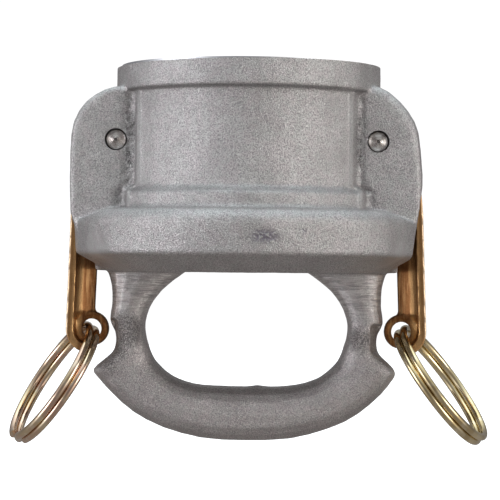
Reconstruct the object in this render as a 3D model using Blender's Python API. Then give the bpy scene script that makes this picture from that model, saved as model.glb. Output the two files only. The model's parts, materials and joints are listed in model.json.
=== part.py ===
"""Cam-and-groove (camlock) cap with a cast loop handle, nominal 2 inch size.

The cap is built mouth up.  Z is the axis of the mouth, Z = 0 is the machined
face of the mouth, X runs from the left cam arm to the right cam arm, and -Y is
the front.  Every size is in metres.
"""

import math

import bmesh
import bpy
from mathutils import Matrix, Vector

MM = 0.001

# Mouth and turned outline of the casting
MOUTH_RADIUS = 31.75 * MM
MOUTH_CHAMFER = 1.0 * MM
LIP_RADIUS = 37.6 * MM
LIP_HEIGHT = 0.6 * MM
COLLAR_RADIUS = 39.0 * MM
COLLAR_BOTTOM = -8.0 * MM
COLLAR_EDGE = 0.9 * MM
COLLAR_FOOT_EDGE = 0.5 * MM
BARREL_RADIUS = 36.8 * MM
BARREL_BOTTOM = -35.8 * MM
BARREL_FILLET = 1.7 * MM
STEP_FILLET = 0.9 * MM
BELT_RADIUS = 39.3 * MM
BELT_TOP = -37.4 * MM
BELT_EDGE = 0.8 * MM
BELT_FILLET = 1.6 * MM
DRUM_TOP = -42.5 * MM
DRUM_RADIUS = 51.6 * MM
DRUM_SHOULDER = 4.0 * MM
DRUM_FOOT_RADIUS = 51.1 * MM
DRUM_SIDE_BOTTOM = -54.5 * MM
DRUM_FOOT_EDGE = 1.4 * MM
DRUM_FOOT_TURN = math.radians(-60.0)
# The drum's shoulder slopes down beside the ears: where each slope starts and
# where it ends, as (x, z)
SHOULDER_SLOPE = ((38.5 * MM, -42.3 * MM), (53.0 * MM, -47.6 * MM))
SHOULDER_ASIDE = 0.1 * MM
END_RADIUS = 41.7 * MM
END_FACE = -60.5 * MM
TURNED_STEPS = 72
CUT_CLEAR = 3.0 * MM
SHARP_ANGLE = math.radians(35.0)

# Seat of the gasket, undercut behind the mouth bore
SEAT_TOP = -44.85 * MM
SEAT_RADIUS = 34.0 * MM
SEAT_FLOOR = -51.8 * MM
WELL_RADIUS = 24.0 * MM
WELL_FLOOR = -53.5 * MM
TOUCH_GAP = 0.3 * MM

# Gasket
GASKET_OUTER = 33.35 * MM
GASKET_INNER = 25.0 * MM
GASKET_THICKNESS = 6.35 * MM
GASKET_EDGE = 0.9 * MM

# Cam arm pivots and the ears that carry them
PIN_OFFSET = 38.0 * MM
PIN_HEIGHT = -22.4 * MM
PIN_RADIUS = 2.9 * MM
PIN_CLEARANCE = 0.3 * MM
PIN_LENGTH = 33.4 * MM
PIN_EDGE = 0.5 * MM
PIN_CENTRE_RADIUS = 0.9 * MM
PIN_CENTRE_TIP = 0.09 * MM
PIN_CENTRE_DEPTH = 0.6 * MM
PIN_STEPS = 24
EAR_INNER = 31.0 * MM
EAR_FRONT = 16.8 * MM
EAR_TOE = (47.5 * MM, -54.0 * MM)
# Outer edge of each ear, from its lower end up and round to the collar, as
# (x, z), and how far its outer face is eased back from that edge, in steps
EAR_SHOULDER = {
    "left": ((51.0, -44.0), (51.3, -35.0), (51.3, -26.0), (51.0, -20.8), (50.2, -17.0), (48.7, -13.9),
             (46.6, -11.3), (44.1, -9.35), (41.5, -7.95), (38.4, -7.0)),
    "right": ((51.0, -44.0), (51.0, -32.0), (50.4, -25.0), (49.7, -19.8), (48.5, -16.4), (46.5, -13.2),
              (44.0, -10.4), (40.8, -7.75), (37.8, -6.4)),
}
EAR_EDGE = {"left": (1.5 * MM, 3), "right": (2.3 * MM, 2)}
SLOT_HALF_WIDTH = 10.0 * MM
WINDOW_TOP = -9.5 * MM
WINDOW_BOTTOM = -35.0 * MM
CHANNEL_FLOOR = 44.3 * MM
CHANNEL_HALF_WIDTH = 10.02 * MM
CHANNEL_DROP = 1.0 * MM
SIDE_REACH = 8.0 * MM
BELOW_END = 5.0 * MM
# The right side of the drum and its ears is trimmed to a slope: its upper and
# lower ends, as (x, z)
RIGHT_TRIM = ((50.8 * MM, -36.5 * MM), (48.0 * MM, -55.8 * MM))

# Loop handle: inner and outer edge of the right half, from the end face down
# to the middle of the grip, as (x, z) pairs
HANDLE_STATIONS = (
    ((13.0, -58.5), (43.5, -57.0)),
    ((18.3, -60.8), (41.3, -60.9)),
    ((25.1, -66.2), (40.1, -65.1)),
    ((28.6, -71.2), (39.9, -70.4)),
    ((29.9, -75.6), (40.5, -75.4)),
    ((29.9, -78.0), (38.9, -78.6)),
    ((29.5, -80.5), (38.6, -81.8)),
    ((28.7, -83.0), (39.6, -84.7)),
    ((28.0, -84.9), (42.2, -87.1)),
    ((26.8, -87.0), (44.4, -89.9)),
    ((24.8, -89.2), (43.5, -92.2)),
    ((21.8, -91.5), (39.9, -96.7)),
    ((17.9, -93.1), (33.4, -102.4)),
    ((13.2, -94.1), (24.5, -106.9)),
    ((7.0, -94.4), (13.0, -109.9)),
    ((0.0, -94.5), (0.0, -110.6)),
)
HANDLE_HALF_DEPTH = 8.3 * MM
HANDLE_SQUARENESS = 2.5
# The legs flare to front and back into the end face: how fast, and from where
HANDLE_FLARE = 0.25
HANDLE_FLARE_FOOT = -61.6 * MM
HANDLE_SECTION_STEPS = 16
HANDLE_SPLITS = 2
# The left tip of the handle reaches a little further than the right one
LEFT_TIP_EXTRA = 1.0
LEFT_TIP_PLACE = -90.2
LEFT_TIP_SPREAD = 2.6
# Sloped flanks of the notches: how far out each starts at the handle's face,
# and its upper and lower ends
NOTCH_FLANK = {"left": (37.3 * MM, -74.9 * MM, -81.0 * MM),
               "right": (36.2 * MM, -75.6 * MM, -84.0 * MM)}
NOTCH_FLANK_INNER = (38.9 * MM, 1.5 * MM)
# Stubs of the casting's gates at the foot of each channel: how far in and how
# wide they are, and their cut faces
STUB_INNER = 37.0 * MM
STUB_HALF_WIDTH = 9.4 * MM
STUB_BOTTOM = -60.4 * MM

# Cam arm, measured outward and up from its pivot
ARM_HALF_WIDTH = 9.5 * MM
ARM_TIP_HALF_WIDTH = 7.3 * MM
HEAD_RADIUS = 6.0 * MM
LOBE_CENTRE = (-6.2 * MM, -1.2 * MM)
LOBE_RADIUS = 4.5 * MM
KNEE = (12.9 * MM, -13.6 * MM)
SHANK_BEND = (13.25 * MM, -16.6 * MM)
SHANK_TOP = (13.6 * MM, -20.6 * MM)
FLANGE_THICKNESS = 2.3 * MM
WEB_HALF_WIDTH = 1.3 * MM
EYE = (7.9 * MM, -55.4 * MM)
EYE_OUTER_RADIUS = 7.1 * MM
EYE_BOSS_RADIUS = 5.1 * MM
EYE_BOSS_HALF_WIDTH = 1.6 * MM
EYE_HOLE_RADIUS = 2.95 * MM
EYE_HOOK_END = math.radians(-67.0)
EYE_HOOK_BITE = 0.25 * MM
# Inner side of the flange between the cam head and the shank
FLANGE_THROAT = ((3.6 * MM, -7.5 * MM), (8.5 * MM, -12.0 * MM), (10.3 * MM, -15.4 * MM))
# Outline of the web, from the head down its inner edge and back up inside the flange
WEB_OUTLINE = ((-1.0 * MM, -4.9 * MM), (3.2 * MM, -13.2 * MM), (6.3 * MM, -17.0 * MM),
               (7.2 * MM, -19.0 * MM), (7.2 * MM, -49.0 * MM), (6.4 * MM, -51.0 * MM),
               (5.8 * MM, -51.8 * MM), EYE, (13.8 * MM, -55.4 * MM), (12.5 * MM, -20.6 * MM),
               (11.7 * MM, -15.6 * MM), (9.9 * MM, -9.6 * MM), (3.0 * MM, 2.0 * MM))
ARM_PIN_HOLE_RADIUS = PIN_RADIUS + PIN_CLEARANCE

# Two-turn finger rings
RING_RADIUS = 19.6 * MM
RING_WIRE_RADIUS = 1.12 * MM
RING_PITCH = 2.38 * MM
RING_STEP_HALF_ANGLE = math.radians(12.0)
RING_SIDES = 8
HOLE_STEPS = 24
BOSS_STEPS = 28
GASKET_STEPS = 60
HEAD_STEPS = 8
LOBE_STEPS = 12
HOOK_STEPS = 8
RING_STEPS_PER_TURN = 44
# How far each ring has swung outward, how far it has turned from square, and
# where along the coil, counted from the eye, the wire steps to its second turn
RING_HANG = {"left": math.radians(34.5), "right": math.radians(37.5)}
RING_YAW = {"left": math.radians(15.0), "right": math.radians(11.0)}
RING_STEP_PLACE = {"left": math.radians(168.0), "right": math.radians(34.0)}

SIDES = (("left", -1), ("right", 1))


def clear_scene():
    for item in list(bpy.data.objects):
        bpy.data.objects.remove(item, do_unlink=True)


def material(name, colour, roughness, metallic):
    made = bpy.data.materials.new(name)
    made.use_nodes = True
    shader = made.node_tree.nodes["Principled BSDF"]
    shader.inputs["Base Color"].default_value = (*colour, 1.0)
    shader.inputs["Roughness"].default_value = roughness
    shader.inputs["Metallic"].default_value = metallic
    return made


def object_from_bmesh(name, shape, surface, location=(0.0, 0.0, 0.0)):
    """Turn a bmesh into an object with outward faces and smooth round sides."""
    bmesh.ops.remove_doubles(shape, verts=shape.verts, dist=1e-6)
    bmesh.ops.recalc_face_normals(shape, faces=shape.faces)
    mesh = bpy.data.meshes.new(name)
    shape.to_mesh(mesh)
    shape.free()
    mesh.materials.append(surface)
    mesh.shade_smooth()
    mesh.set_sharp_from_angle(angle=SHARP_ANGLE)
    made = bpy.data.objects.new(name, mesh)
    made.location = location
    bpy.context.scene.collection.objects.link(made)
    return made


def combine(target, tool, operation):
    """Join a tool solid to a target, or cut it away, and hide the tool."""
    modifier = target.modifiers.new(tool.name, "BOOLEAN")
    modifier.operation = operation
    modifier.solver = "EXACT"
    modifier.object = tool
    tool.hide_render = True
    tool.display_type = "WIRE"


def arc(centre, radius, start, end, steps):
    """Points along an arc in a plane, both ends included."""
    points = []
    for index in range(steps + 1):
        angle = start + (end - start) * index / steps
        points.append((centre[0] + radius * math.cos(angle),
                       centre[1] + radius * math.sin(angle)))
    return points


def loft(rings, closed=False):
    """Skin a row of equal point rings; an open row gets a cap at each end."""
    shape = bmesh.new()
    loops = [[shape.verts.new(point) for point in ring] for ring in rings]
    pairs = list(zip(loops, loops[1:]))
    if closed:
        pairs.append((loops[-1], loops[0]))
    for first, second in pairs:
        count = len(first)
        for index in range(count):
            after = (index + 1) % count
            shape.faces.new((first[index], first[after], second[after], second[index]))
    if not closed:
        shape.faces.new(loops[0])
        shape.faces.new(loops[-1])
    return shape


def turned(profile, steps, closed=False):
    """Turn an (x, z) outline about the Z axis."""
    rings = []
    for radius, height in profile:
        ring = []
        for index in range(steps):
            angle = 2.0 * math.pi * index / steps
            ring.append(Vector((radius * math.cos(angle), radius * math.sin(angle), height)))
        rings.append(ring)
    return loft(rings, closed)


def prism(layers):
    """Solid along Y through layers, each a depth and its (x, z) outline."""
    rings = []
    for depth, outline in layers:
        rings.append([Vector((x, depth, z)) for x, z in outline])
    return loft(rings)


def span_box(side, near, far, half_width, bottom, top):
    """Box on one side of the cap, from near to far out along X."""
    shape = bmesh.new()
    bmesh.ops.create_cube(shape, size=1.0)
    bmesh.ops.scale(shape, vec=(far - near, 2.0 * half_width, top - bottom), verts=shape.verts)
    middle = Vector((side * (near + far) / 2.0, 0.0, (bottom + top) / 2.0))
    bmesh.ops.translate(shape, vec=middle, verts=shape.verts)
    return shape


def rod_along_y(radius, half_length, steps):
    outline = arc((0.0, 0.0), radius, 0.0, 2.0 * math.pi, steps)[:-1]
    return prism([(-half_length, outline), (half_length, outline)])


# ---------------------------------------------------------------- cap casting


def cap_profile():
    """Outside of the casting from the mouth to the end face, as (radius, z)."""
    right, up, left, down = 0.0, math.pi / 2.0, math.pi, 1.5 * math.pi
    lip_foot = -LIP_HEIGHT
    profile = [(LIP_RADIUS, 0.0), (LIP_RADIUS, lip_foot)]
    profile += arc((COLLAR_RADIUS - COLLAR_EDGE, lip_foot - COLLAR_EDGE), COLLAR_EDGE, up, right, 3)
    profile += arc((COLLAR_RADIUS - COLLAR_FOOT_EDGE, COLLAR_BOTTOM + COLLAR_FOOT_EDGE),
                   COLLAR_FOOT_EDGE, right, -up, 2)
    profile += arc((BARREL_RADIUS + BARREL_FILLET, COLLAR_BOTTOM - BARREL_FILLET),
                   BARREL_FILLET, up, left, 3)
    profile += arc((BARREL_RADIUS + STEP_FILLET, BARREL_BOTTOM), STEP_FILLET, left, down, 2)
    profile += arc((BELT_RADIUS - BELT_EDGE, BELT_TOP - BELT_EDGE), BELT_EDGE, up, right, 3)
    profile += arc((BELT_RADIUS + BELT_FILLET, DRUM_TOP + BELT_FILLET), BELT_FILLET, left, down, 3)
    profile += arc((DRUM_RADIUS - DRUM_SHOULDER, DRUM_TOP - DRUM_SHOULDER), DRUM_SHOULDER, up, right, 5)
    profile += arc((DRUM_FOOT_RADIUS - DRUM_FOOT_EDGE, DRUM_SIDE_BOTTOM), DRUM_FOOT_EDGE,
                   right, DRUM_FOOT_TURN, 3)
    profile.append((END_RADIUS, END_FACE))
    return profile


def socket_profile():
    """Inside of the mouth, the gasket seat and the well behind it."""
    return [
        (MOUTH_RADIUS + MOUTH_CHAMFER + CUT_CLEAR, CUT_CLEAR),
        (MOUTH_RADIUS, -MOUTH_CHAMFER),
        (MOUTH_RADIUS, SEAT_TOP),
        (SEAT_RADIUS, SEAT_TOP),
        (SEAT_RADIUS, SEAT_FLOOR),
        (WELL_RADIUS, SEAT_FLOOR),
        (WELL_RADIUS, WELL_FLOOR),
    ]


def ear_outline(label, side, inset):
    """Outline of an ear in X and Z, drawn in a little toward the pin."""
    pin = Vector((PIN_OFFSET, 0.0, PIN_HEIGHT))
    points = [(EAR_INNER, EAR_TOE[1]), (EAR_TOE[0] - inset, EAR_TOE[1])]
    for x, z in EAR_SHOULDER[label]:
        reach = Vector((x, 0.0, z)) * MM - pin
        eased = pin + reach * (1.0 - inset / reach.length)
        points.append((eased.x, eased.z))
    points.append((EAR_INNER, points[-1][1]))
    return [(side * x, z) for x, z in points]


def ear(name, label, side, facing, surface):
    """One ear beside a slot, with a rounded edge at its outer face."""
    edge, steps = EAR_EDGE[label]
    layers = [(facing * SLOT_HALF_WIDTH, ear_outline(label, side, 0.0))]
    for part in range(steps + 1):
        angle = math.pi / 2.0 * part / steps
        depth = EAR_FRONT - edge * (1.0 - math.sin(angle))
        layers.append((facing * depth, ear_outline(label, side, edge * (1.0 - math.cos(angle)))))
    return object_from_bmesh(name, prism(layers), surface)


def smooth_row(points, splits):
    """More points along a smooth curve through a row of points."""
    row = [Vector(point) for point in points]
    made = []
    for index in range(len(row) - 1):
        before = row[max(index - 1, 0)]
        start = row[index]
        end = row[index + 1]
        after = row[min(index + 2, len(row) - 1)]
        for part in range(splits):
            t = part / splits
            made.append(0.5 * (2.0 * start + (end - before) * t
                               + (2.0 * before - 5.0 * start + 4.0 * end - after) * t ** 2
                               + (3.0 * start - before - 3.0 * end + after) * t ** 3))
    made.append(row[-1])
    return made


def handle_section(inner, outer):
    """One rounded cross-section of the handle between its two edges."""
    inner = Vector((inner[0], 0.0, inner[1])) * MM
    outer = Vector((outer[0], 0.0, outer[1])) * MM
    middle = (inner + outer) / 2.0
    reach = (outer - inner) / 2.0
    power = 2.0 / HANDLE_SQUARENESS
    half_depth = HANDLE_HALF_DEPTH + HANDLE_FLARE * max(0.0, middle.z - HANDLE_FLARE_FOOT)
    ring = []
    for index in range(HANDLE_SECTION_STEPS):
        angle = 2.0 * math.pi * index / HANDLE_SECTION_STEPS
        across = math.copysign(abs(math.cos(angle)) ** power, math.cos(angle))
        deep = math.copysign(abs(math.sin(angle)) ** power, math.sin(angle))
        ring.append(middle + reach * across + Vector((0.0, half_depth * deep, 0.0)))
    return ring


def handle(surface):
    right = list(HANDLE_STATIONS)
    left = []
    for inner, outer in right[:-1]:
        tip = math.exp(-((outer[1] - LEFT_TIP_PLACE) / LEFT_TIP_SPREAD) ** 2)
        left.append(((-inner[0], inner[1]), (-outer[0] - LEFT_TIP_EXTRA * tip, outer[1])))
    stations = left + right[::-1]
    inner_edge = smooth_row([inner for inner, _ in stations], HANDLE_SPLITS)
    outer_edge = smooth_row([outer for _, outer in stations], HANDLE_SPLITS)
    rings = [handle_section(inner, outer) for inner, outer in zip(inner_edge, outer_edge)]
    return object_from_bmesh("tool_handle", loft(rings), surface)


def notch_flank(side, facing, flank):
    """Cutter that slopes one edge of the handle back where it is notched."""
    start, top, bottom = flank
    face = HANDLE_HALF_DEPTH + TOUCH_GAP
    far = NOTCH_FLANK_INNER[0] + SIDE_REACH
    outline = [(start, face), NOTCH_FLANK_INNER, (far, NOTCH_FLANK_INNER[1]), (far, face)]
    rings = []
    for height in (bottom, top):
        rings.append([Vector((side * x, facing * y, height)) for x, y in outline])
    return loft(rings)


def shoulder_slope(side, facing):
    """Cutter that slopes the drum's shoulder down, clear of the ear's outer face."""
    start, end = SHOULDER_SLOPE
    above = BELT_TOP
    outline = [(side * x, z) for x, z in (start, end, (end[0], above), (start[0], above))]
    near = EAR_FRONT + SHOULDER_ASIDE
    return prism([(facing * near, outline), (facing * DRUM_RADIUS, outline)])


def trim():
    """Wedge outside the sloping right side, from above the ears to below the drum."""
    high, low = RIGHT_TRIM
    lean = (high[0] - low[0]) / (high[1] - low[1])
    top = (high[0] - lean * high[1], 0.0)
    bottom_height = END_FACE - BELOW_END
    bottom = (low[0] + lean * (bottom_height - low[1]), bottom_height)
    far = DRUM_RADIUS + 2.0 * SIDE_REACH
    outline = [top, bottom, (far, bottom_height), (far, 0.0)]
    return prism([(-DRUM_RADIUS, outline), (DRUM_RADIUS, outline)])


def cap_body(surface):
    body = object_from_bmesh("cap_body", turned(cap_profile(), TURNED_STEPS), surface)
    for label, side in SIDES:
        for place, facing in (("front", -1), ("back", 1)):
            slope = shoulder_slope(side, facing)
            name = "tool_slope_%s_%s" % (label, place)
            combine(body, object_from_bmesh(name, slope, surface), "DIFFERENCE")
            tool = ear("tool_ear_%s_%s" % (label, place), label, side, facing, surface)
            combine(body, tool, "UNION")
    grip = handle(surface)
    for label, side in SIDES:
        for place, facing in (("front", -1), ("back", 1)):
            flank = notch_flank(side, facing, NOTCH_FLANK[label])
            name = "tool_flank_%s_%s" % (label, place)
            combine(grip, object_from_bmesh(name, flank, surface), "DIFFERENCE")
    combine(body, grip, "UNION")
    socket = object_from_bmesh("tool_socket", turned(socket_profile(), TURNED_STEPS), surface)
    combine(body, socket, "DIFFERENCE")
    for label, side in SIDES:
        window = span_box(side, MOUTH_RADIUS - SIDE_REACH, DRUM_RADIUS + SIDE_REACH, SLOT_HALF_WIDTH,
                          WINDOW_BOTTOM, WINDOW_TOP)
        combine(body, object_from_bmesh("tool_window_" + label, window, surface), "DIFFERENCE")
        stub = span_box(side, STUB_INNER, CHANNEL_FLOOR + TOUCH_GAP, STUB_HALF_WIDTH,
                        STUB_BOTTOM, DRUM_SIDE_BOTTOM)
        combine(body, object_from_bmesh("tool_stub_" + label, stub, surface), "UNION")
        channel = span_box(side, CHANNEL_FLOOR, DRUM_RADIUS + SIDE_REACH, CHANNEL_HALF_WIDTH,
                           END_FACE - BELOW_END, WINDOW_BOTTOM - CHANNEL_DROP)
        combine(body, object_from_bmesh("tool_channel_" + label, channel, surface), "DIFFERENCE")
        bore = rod_along_y(PIN_RADIUS + PIN_CLEARANCE, EAR_FRONT + CUT_CLEAR, PIN_STEPS)
        hole = object_from_bmesh("tool_pin_hole_" + label, bore, surface,
                                 (side * PIN_OFFSET, 0.0, PIN_HEIGHT))
        combine(body, hole, "DIFFERENCE")
    combine(body, object_from_bmesh("tool_trim_right", trim(), surface), "DIFFERENCE")
    return body


# --------------------------------------------------------------- loose pieces


def gasket(surface):
    bottom = SEAT_FLOOR + TOUCH_GAP
    top = bottom + GASKET_THICKNESS
    profile = [
        (GASKET_INNER, bottom + GASKET_EDGE),
        (GASKET_INNER + GASKET_EDGE, bottom),
        (GASKET_OUTER - GASKET_EDGE, bottom),
        (GASKET_OUTER, bottom + GASKET_EDGE),
        (GASKET_OUTER, top - GASKET_EDGE),
        (GASKET_OUTER - GASKET_EDGE, top),
        (GASKET_INNER + GASKET_EDGE, top),
        (GASKET_INNER, top - GASKET_EDGE),
    ]
    return object_from_bmesh("gasket", turned(profile, GASKET_STEPS, closed=True), surface)


def pivot_pin(label, side, surface):
    """Straight pin with broken edges and a small turned centre in each end."""
    half = PIN_LENGTH / 2.0
    half_profile = [
        (PIN_CENTRE_TIP, half - PIN_CENTRE_DEPTH),
        (PIN_CENTRE_RADIUS, half),
        (PIN_RADIUS - PIN_EDGE, half),
        (PIN_RADIUS, half - PIN_EDGE),
    ]
    profile = half_profile + [(radius, -height) for radius, height in half_profile[::-1]]
    shape = turned(profile, PIN_STEPS)
    bmesh.ops.rotate(shape, matrix=Matrix.Rotation(math.pi / 2.0, 3, "X"), verts=shape.verts)
    return object_from_bmesh("pivot_pin_" + label, shape, surface,
                             (side * PIN_OFFSET, 0.0, PIN_HEIGHT))


def arm_outline():
    """Cam head and outer flange in one outline, outward and up from the pivot."""
    tangent = math.atan2(KNEE[1], KNEE[0]) + math.acos(HEAD_RADIUS / math.hypot(*KNEE))
    reach = math.hypot(*LOBE_CENTRE)
    toward = math.atan2(LOBE_CENTRE[1], LOBE_CENTRE[0]) + 2.0 * math.pi
    spread = math.acos((HEAD_RADIUS - LOBE_RADIUS) / reach)
    outline = [SHANK_TOP, SHANK_BEND, KNEE]
    outline += arc((0.0, 0.0), HEAD_RADIUS, tangent, toward - spread, HEAD_STEPS)
    outline += arc(LOBE_CENTRE, LOBE_RADIUS, toward - spread, toward + spread, LOBE_STEPS)
    outline.append((HEAD_RADIUS * math.cos(toward + spread), HEAD_RADIUS * math.sin(toward + spread)))
    outline += FLANGE_THROAT
    outline.append((SHANK_TOP[0] - FLANGE_THICKNESS, SHANK_TOP[1]))
    outline += arc(EYE, EYE_BOSS_RADIUS - EYE_HOOK_BITE, 0.0, EYE_HOOK_END, HOOK_STEPS - 1)
    outline += arc(EYE, EYE_OUTER_RADIUS, EYE_HOOK_END, 0.0, HOOK_STEPS)
    return outline


def arm_flange(side):
    """The full-width part of the arm: a level head, and a shank that narrows to the eye."""
    outline = arm_outline()
    count = len(outline)
    inner_top = outline.index((SHANK_TOP[0] - FLANGE_THICKNESS, SHANK_TOP[1]))
    shape = bmesh.new()
    rows = []
    for facing in (-1, 1):
        row = []
        for x, z in outline:
            along = (SHANK_TOP[1] - z) / (SHANK_TOP[1] - EYE[1])
            along = min(1.0, max(0.0, along))
            half = ARM_HALF_WIDTH + (ARM_TIP_HALF_WIDTH - ARM_HALF_WIDTH) * along
            row.append(shape.verts.new((side * x, facing * half, z)))
        shape.faces.new(row[:inner_top + 1])
        shape.faces.new(row[inner_top:] + row[:1])
        rows.append(row)
    front, back = rows
    for index in range(count):
        after = (index + 1) % count
        shape.faces.new((front[index], front[after], back[after], back[index]))
    return shape


def arm_web(side):
    """The thin rib between the flange and the eye."""
    outline = [(side * x, z) for x, z in WEB_OUTLINE]
    return prism([(-WEB_HALF_WIDTH, outline), (WEB_HALF_WIDTH, outline)])


def cam_arm(label, side, surface):
    pivot = (side * PIN_OFFSET, 0.0, PIN_HEIGHT)
    eye_place = (pivot[0] + side * EYE[0], 0.0, PIN_HEIGHT + EYE[1])
    arm = object_from_bmesh("cam_arm_" + label, arm_flange(side), surface, pivot)
    web = object_from_bmesh("tool_web_" + label, arm_web(side), surface, pivot)
    boss = object_from_bmesh("tool_eye_boss_" + label,
                             rod_along_y(EYE_BOSS_RADIUS, EYE_BOSS_HALF_WIDTH, BOSS_STEPS),
                             surface, eye_place)
    pin_hole = object_from_bmesh("tool_arm_hole_" + label,
                                 rod_along_y(ARM_PIN_HOLE_RADIUS, ARM_HALF_WIDTH + CUT_CLEAR, PIN_STEPS),
                                 surface, pivot)
    eye_hole = object_from_bmesh("tool_eye_hole_" + label,
                                 rod_along_y(EYE_HOLE_RADIUS, EYE_BOSS_HALF_WIDTH + CUT_CLEAR, HOLE_STEPS),
                                 surface, eye_place)
    combine(arm, web, "UNION")
    combine(arm, boss, "UNION")
    combine(arm, pin_hole, "DIFFERENCE")
    combine(arm, eye_hole, "DIFFERENCE")
    return arm


def ring_offset(turn):
    """Sideways place of the wire: two flat turns joined by one short step."""
    step = (turn - 2.0 * math.pi + RING_STEP_HALF_ANGLE) / (2.0 * RING_STEP_HALF_ANGLE)
    step = min(1.0, max(0.0, step))
    return RING_PITCH * (step * step * (3.0 - 2.0 * step) - 0.5)


def ring_coil(step_place):
    """Ring coil about its own centre; Y is its axis and +Z its top."""
    start = RING_STEP_HALF_ANGLE
    end = 4.0 * math.pi - RING_STEP_HALF_ANGLE
    steps = 2 * RING_STEPS_PER_TURN
    rings = []
    for index in range(steps + 1):
        turn = start + (end - start) * index / steps
        angle = turn + step_place
        aside = ring_offset(turn)
        outward = Vector((math.sin(angle), 0.0, math.cos(angle)))
        centre = outward * RING_RADIUS + Vector((0.0, aside, 0.0))
        ring = []
        for corner in range(RING_SIDES):
            around = 2.0 * math.pi * corner / RING_SIDES
            ring.append(centre + outward * RING_WIRE_RADIUS * math.cos(around)
                        + Vector((0.0, RING_WIRE_RADIUS * math.sin(around), 0.0)))
        rings.append(ring)
    return loft(rings)


def finger_ring(label, side, surface):
    """Ring threaded through the eye, swung outward and turned a little."""
    shape = ring_coil(RING_STEP_PLACE[label])
    bmesh.ops.translate(shape, vec=(0.0, 0.0, -RING_RADIUS), verts=shape.verts)
    stand = Matrix.Rotation(side * (math.pi / 2.0 - RING_YAW[label]), 3, "Z")
    swing = Matrix.Rotation(-side * RING_HANG[label], 3, "Y")
    bmesh.ops.rotate(shape, matrix=swing @ stand, verts=shape.verts)
    eye_place = (side * (PIN_OFFSET + EYE[0]), 0.0, PIN_HEIGHT + EYE[1])
    return object_from_bmesh("finger_ring_" + label, shape, surface, eye_place)


def main():
    clear_scene()
    cast_aluminium = material("cast_aluminium", (0.42, 0.42, 0.41), 0.55, 1.0)
    cast_bronze = material("cast_bronze", (0.45, 0.27, 0.12), 0.4, 1.0)
    steel = material("turned_steel", (0.62, 0.61, 0.58), 0.25, 1.0)
    plated_wire = material("plated_wire", (0.75, 0.62, 0.33), 0.2, 1.0)
    rubber = material("black_rubber", (0.02, 0.02, 0.02), 0.6, 0.0)
    cap_body(cast_aluminium)
    gasket(rubber)
    for label, side in SIDES:
        cam_arm(label, side, cast_bronze)
        pivot_pin(label, side, steel)
        finger_ring(label, side, plated_wire)


main()
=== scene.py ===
"""Looks of a camlock cap: cast body, bronze cam arms, pivot pins, finger rings, gasket.

Lengths are in metres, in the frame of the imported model: Z runs up through the
mouth, X from the left arm to the right arm, and -Y is the front.
"""

import json
import math

import bmesh
import bpy
import numpy as np
from mathutils import Matrix, Vector, noise


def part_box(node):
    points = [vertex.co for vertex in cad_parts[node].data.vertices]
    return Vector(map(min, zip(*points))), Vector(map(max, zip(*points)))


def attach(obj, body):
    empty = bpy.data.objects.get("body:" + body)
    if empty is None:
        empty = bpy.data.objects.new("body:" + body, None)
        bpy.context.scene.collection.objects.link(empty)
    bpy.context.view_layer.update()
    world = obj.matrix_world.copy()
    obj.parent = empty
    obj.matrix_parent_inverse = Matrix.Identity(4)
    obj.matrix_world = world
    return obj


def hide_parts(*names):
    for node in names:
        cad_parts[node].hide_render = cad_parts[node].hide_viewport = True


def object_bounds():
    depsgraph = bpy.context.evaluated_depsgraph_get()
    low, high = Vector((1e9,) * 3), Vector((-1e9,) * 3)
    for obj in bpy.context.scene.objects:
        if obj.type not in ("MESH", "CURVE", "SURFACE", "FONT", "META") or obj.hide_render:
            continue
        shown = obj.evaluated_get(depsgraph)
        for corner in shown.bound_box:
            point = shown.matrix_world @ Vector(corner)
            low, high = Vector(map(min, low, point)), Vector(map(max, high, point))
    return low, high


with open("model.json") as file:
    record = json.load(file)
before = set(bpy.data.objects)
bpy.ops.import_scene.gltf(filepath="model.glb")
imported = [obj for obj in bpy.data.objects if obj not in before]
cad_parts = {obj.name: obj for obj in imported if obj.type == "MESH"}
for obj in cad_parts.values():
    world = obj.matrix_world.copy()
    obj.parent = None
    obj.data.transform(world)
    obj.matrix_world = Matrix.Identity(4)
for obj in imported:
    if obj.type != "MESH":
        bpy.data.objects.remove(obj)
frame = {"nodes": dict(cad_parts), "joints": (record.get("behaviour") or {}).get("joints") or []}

MM = 0.001
SIDES = (("left", -1), ("right", 1))
SHARP_ANGLE = 40.0
WELD_DISTANCE = 0.001 * MM
# How far a cutter reaches past what it cuts, and how far a filler reaches into it
CUT_CLEAR = 4.0 * MM
FILL_OVERLAP = 0.2 * MM
cad_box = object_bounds()
joint_place = {joint["name"]: Vector(joint["pos_m"]) for joint in frame["joints"]}

# Casting: cast skin first, then the machined cuts
SKIN_VOXEL = 0.5 * MM
SKIN_SMOOTHING = 4
CAD_TURNED_STEPS = 72
SWELL_SIZE = 7.0 * MM
SWELL_HEIGHT = 0.10 * MM
LUMP_SIZE = 1.9 * MM
LUMP_HEIGHT = 0.05 * MM
COLLAR_GROOVE_PLACE = -8.6 * MM
COLLAR_GROOVE_WIDTH = 0.55 * MM
COLLAR_GROOVE_DEPTH = 0.22 * MM
# The collar's groove is kept between the mouth and the barrel's outside
MOUTH_WALL = 2.0 * MM
BARREL_REACH = 38.6 * MM
MACHINED_STEPS = 256
MOUTH_RADIUS = 31.75 * MM
MOUTH_CHAMFER = 1.0 * MM
LIP_RADIUS = 37.6 * MM
LIP_HEIGHT = 0.45 * MM
LIP_TILT = 0.0110
SEAT_TOP = -44.85 * MM
SEAT_RADIUS = 34.0 * MM
SEAT_FLOOR = -51.8 * MM
WELL_RADIUS = 24.0 * MM
WELL_FLOOR = -53.5 * MM
COLLAR_RADIUS = 39.0 * MM
# Heights between which the mouth is filled before it is cut, and those between
# which the collar is made taller, so that the skin's rounded edge is cut away
MOUTH_FILL_TOP = -1.5 * MM
COLLAR_FILL = (-4.0 * MM, 1.6 * MM)
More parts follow.
